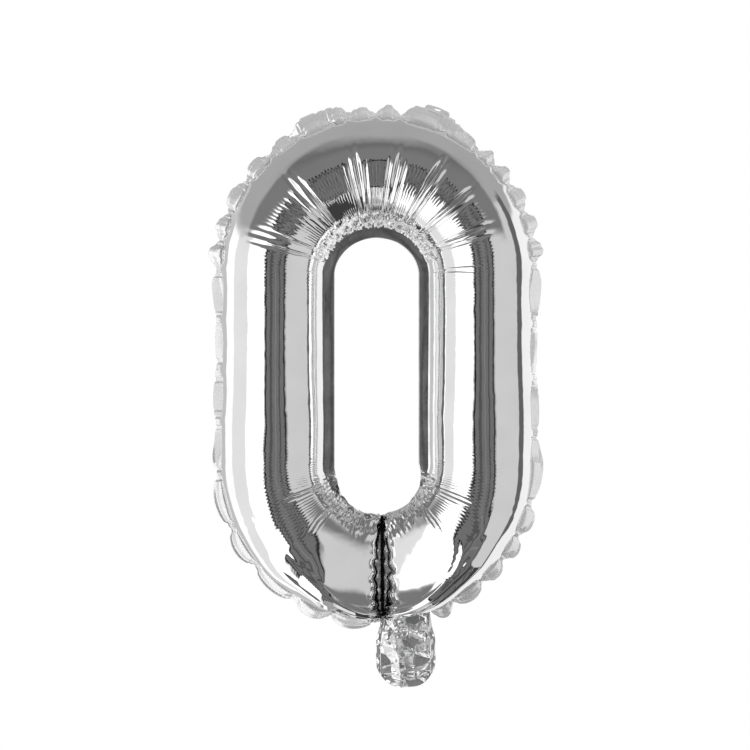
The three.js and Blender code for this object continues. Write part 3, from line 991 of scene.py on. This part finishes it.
def weld_painted_shade():
    """The weld between the tube ends, a little rough, with painted shade: near black along its middle, where
    the slit lies in deep shadow, and lighter towards its sides.
    """
    foil = Finish("weld_painted_shade", (0.3, 0.3, 0.31), 0.25)
    # painted shade: the middle of the weld, under the slit, is tinted near black; away from it the tint is
    # light, with a random grain
    outside = foil.calc("SUBTRACT", 1.0, foil.attribute("painted_slit_shade"))
    grain = foil.calc("MULTIPLY", foil.noise(3 * MM), 0.45)
    shade = foil.calc("ADD", grain, foil.calc("MULTIPLY", outside, 0.5))
    foil.tint(shade, (0.01, 0.01, 0.012), (0.9, 0.9, 0.905))
    foil.roughness(foil.spread(foil.noise(2 * MM, 4), 0.15, 0.35))
    foil.bump(foil.noise(2 * MM, 2), 0.05 * MM)
    return foil.material


def neck_foil():
    """Crumpled single film."""
    foil = Finish("neck_foil", (0.93, 0.93, 0.935), 0.06, metallic=0.86)
    foil.tint(foil.noise(8 * MM), (0.85, 0.85, 0.855), (0.95, 0.95, 0.955))
    foil.roughness(foil.spread(foil.noise(3 * MM, 4), 0.03, 0.1))
    foil.bump(foil.noise(5 * MM, 2), 0.08 * MM)
    return foil.material


def clear_film():
    """The clear plastic of the valve."""
    film = Finish("clear_film", (0.93, 0.94, 0.95), 0.12, metallic=0.0)
    film.shader.inputs["Transmission Weight"].default_value = 0.9
    film.shader.inputs["IOR"].default_value = 1.5
    film.roughness(film.spread(film.noise(4 * MM, 3), 0.08, 0.2))
    film.bump(film.noise(3 * MM, 2), 0.08 * MM)
    return film.material


# ---------------- the pieces

def finish_piece(piece, material, slot, *nodes, body="balloon"):
    """Gives a piece its material, its body and the CAD nodes whose place it takes. The slot is not used."""
    piece.data.materials.clear()
    piece.data.materials.append(material)
    if body:
        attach(piece, body)
    if nodes:
        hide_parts(*nodes)
    return piece


def across_neck_fold(piece):
    """Bakes the piece's placement into its mesh."""
    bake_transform(piece)
    return piece


foil = blown_foil()
# the last of these is the weld's finish, with painted shade along the slit
bright, pressed, sealed, painted_shade_weld = mirror_foil(), band_foil(), sealed_foil(), weld_painted_shade()
crumpled, clear, folded_back = neck_foil(), clear_film(), tab_foil()

finish_piece(foil_skin("front_foil", foil, -1), bright, "mirror_foil", "front_foil_panel")
finish_piece(foil_skin("back_foil", foil, 1), bright, "mirror_foil", "back_foil_panel")
finish_piece(outer_edge(foil), sealed, "sealed_foil", "outer_seal_band")
for side in (-1, 1):
    finish_piece(seam_gathers(foil, sealed, side), sealed, "sealed_foil")
finish_piece(hole_edge(), pressed, "sealed_foil", "hole_seal_band")
# the weld, with painted shade along the slit
finish_piece(closing_seam(), painted_shade_weld, "sealed_foil", "closing_weld")

neck_pieces = (
    (neck_film("neck_front", -1, 71), "neck_foil", "neck_front_film"),
    (neck_film("neck_back", 1, 72), "neck_foil", "neck_back_film"),
    (neck_edge("neck_left_edge", -1, 73), "neck_foil", "neck_left_seal"),
    (neck_edge("neck_right_edge", 1, 74), "neck_foil", "neck_right_seal"),
)
for piece, slot, node in neck_pieces:
    across_neck_fold(finish_piece(piece, crumpled, slot, node, body=None))
for face, side in (("front", -1), ("back", 1)):
    piece = valve_film("valve_" + face, side)
    nodes = ("valve_" + face + "_film", "valve_inlet_" + face + "_film")
    across_neck_fold(finish_piece(piece, clear, "valve_film", *nodes, body=None))

right_tab = hang_tab("right_tab", "right_tab_fold", 66, 81)
left_tab = hang_tab("left_tab", "left_tab_fold", 84, 82)
finish_piece(right_tab, folded_back, "sealed_foil", "right_hang_tab", body="right_tab")
finish_piece(left_tab, folded_back, "sealed_foil", "left_hang_tab", body="left_tab")


# ---------------- studio, floor and camera

def make_studio():
    """A plain studio as a panorama: white screens at both sides, a dim room in front, a pale ceiling."""
    world = bpy.data.worlds.new("studio")
    bpy.context.scene.world = world
    world.use_nodes = True
    world.node_tree.nodes.clear()
    sky = NodeWork(world.node_tree)

    def soft_step(value, edge, soft):
        node = sky.node("ShaderNodeMapRange", interpolation_type="SMOOTHSTEP")
        sky.link(value, node.inputs["Value"])
        node.inputs["From Min"].default_value = edge - soft
        node.inputs["From Max"].default_value = edge + soft
        return node.outputs[0]

    def between(value, low, high, soft):
        return sky.calc("SUBTRACT", soft_step(value, low, soft), soft_step(value, high, soft))

    def mixed(share, below, above):
        node = sky.node("ShaderNodeMix")
        sky.link(share, node.inputs[0])
        for socket, value in ((node.inputs[2], below), (node.inputs[3], above)):
            if isinstance(value, float):
                socket.default_value = value
            else:
                sky.link(value, socket)
        return node.outputs[0]

    direction = sky.node("ShaderNodeTexCoord")
    parts = sky.node("ShaderNodeSeparateXYZ")
    sky.link(direction.outputs["Generated"], parts.inputs[0])
    x, y, z = parts.outputs
    turned = sky.calc("ARCTAN2", x, sky.calc("MULTIPLY", y, -1.0))
    turned = sky.calc("MULTIPLY", turned, math.degrees(1))
    raised = sky.calc("MULTIPLY", sky.calc("ARCSINE", z), math.degrees(1))
    # turned: 0 in front of the balloon, + towards +X; raised: above the horizon; all in degrees
    panels = (
        # from, to, low, high, edge softness, brightness
        (-200, 200, -60, 20, 3, 0.62),
        (-200, 200, -100, -36, 3, 0.84),
        (-200, 200, -100, -74, 4, 0.12),
        (-70, -4, -72, -38, 3, 0.36),
        (109, 200, -60, 22, 3, 0.95),
        (-200, -128, -60, 16, 3, 0.57),
        (-128, -98, -60, 17, 2, 1.1),
        (-98, -61, -60, 17, 2, 0.82),
        (-61, -18, -60, 16, 2, 1.35),
        (33, 93, -30, 32, 2, 0.64),
        (93, 109, -60, 34, 1.5, 0.13),
        (20, 85, -70, -31, 1.5, 0.05),
        (-18, 33, -36, 50, 3, 0.165),
        (-75, 75, 17, 60, 6, 0.20),
        (-85, 85, 54, 68, 18, 0.11),
        (-16, -13, -38, 18, 0.8, 0.01),
        (28, 31, -38, 18, 0.8, 0.03),
        (-16, 31, 15.5, 18, 0.8, 0.01),
        (-5, 1, -36, 16, 1.5, 0.09),
        (8, 9.5, -36, 16, 0.7, 0.25),
        (17, 20, -36, 16, 0.7, 0.08),
        (-16, 31, -38.5, -35.5, 0.8, 0.01),
    )
    level = 0.4
    for left, right, low, high, soft, brightness in panels:
        across, up = between(turned, left, right, soft), between(raised, low, high, soft)
        level = mixed(sky.calc("MULTIPLY", across, up), level, float(brightness))
    seen = mixed(sky.node("ShaderNodeLightPath").outputs["Is Camera Ray"], level, 1.0)
    background = sky.node("ShaderNodeBackground")
    sky.link(seen, background.inputs["Color"])
    output = sky.node("ShaderNodeOutputWorld")
    sky.link(background.outputs[0], output.inputs[0])


def make_lamps():
    """Two big soft lamps for what isn't mirror-bright; the foil itself shows only the studio round it."""
    for x, y, z, power in ((1.3, -2.2, 1.6, 62), (-1.4, 1.8, 1.8, 34)):
        data = bpy.data.lights.new("lamp", "AREA")
        data.size = 1.6
        data.energy = power
        lamp = bpy.data.objects.new("lamp", data)
        lamp.location = (x, y, z)
        aim = Vector((0, 0, BOTTOM_Z)) - lamp.location
        lamp.rotation_euler = aim.to_track_quat("-Z", "Y").to_euler()
        lamp.visible_glossy = False
        lamp.visible_camera = False
        bpy.context.scene.collection.objects.link(lamp)


def make_floor():
    """A pale sheet well below the balloon, which hangs free."""
    half, level = 0.8, -0.62
    corners = np.array([[-half, -half], [half, -half], [half, half], [-half, half]])
    corners = np.hstack([corners, np.full((4, 1), level)])
    floor = mesh_object("floor", corners, np.array([[0, 1, 2, 3]]))
    surface = Finish("pale_floor", (0.86, 0.86, 0.85), 0.6, metallic=0.0)
    surface.tint(surface.noise(200 * MM), (0.84, 0.84, 0.83), (0.87, 0.87, 0.86))
    floor.data.materials.append(surface.material)
    floor.visible_glossy = False


CAMERA_AWAY = 3.0
FRAME_WIDTH = 0.51375  # width seen at the balloon's mid-plane
FRAME_CENTRE = (-1.03 * MM, -185.6 * MM)


def make_camera():
    data = bpy.data.cameras.new("camera")
    data.sensor_width = 36
    data.lens = data.sensor_width * CAMERA_AWAY / FRAME_WIDTH
    camera = bpy.data.objects.new("camera", data)
    camera.location = (FRAME_CENTRE[0], -CAMERA_AWAY, FRAME_CENTRE[1])
    camera.rotation_euler = (math.pi / 2, 0, 0)
    bpy.context.scene.collection.objects.link(camera)
    bpy.context.scene.camera = camera
    bpy.context.scene.view_settings.view_transform = "Standard"


make_camera()
make_studio()
make_lamps()
make_floor()
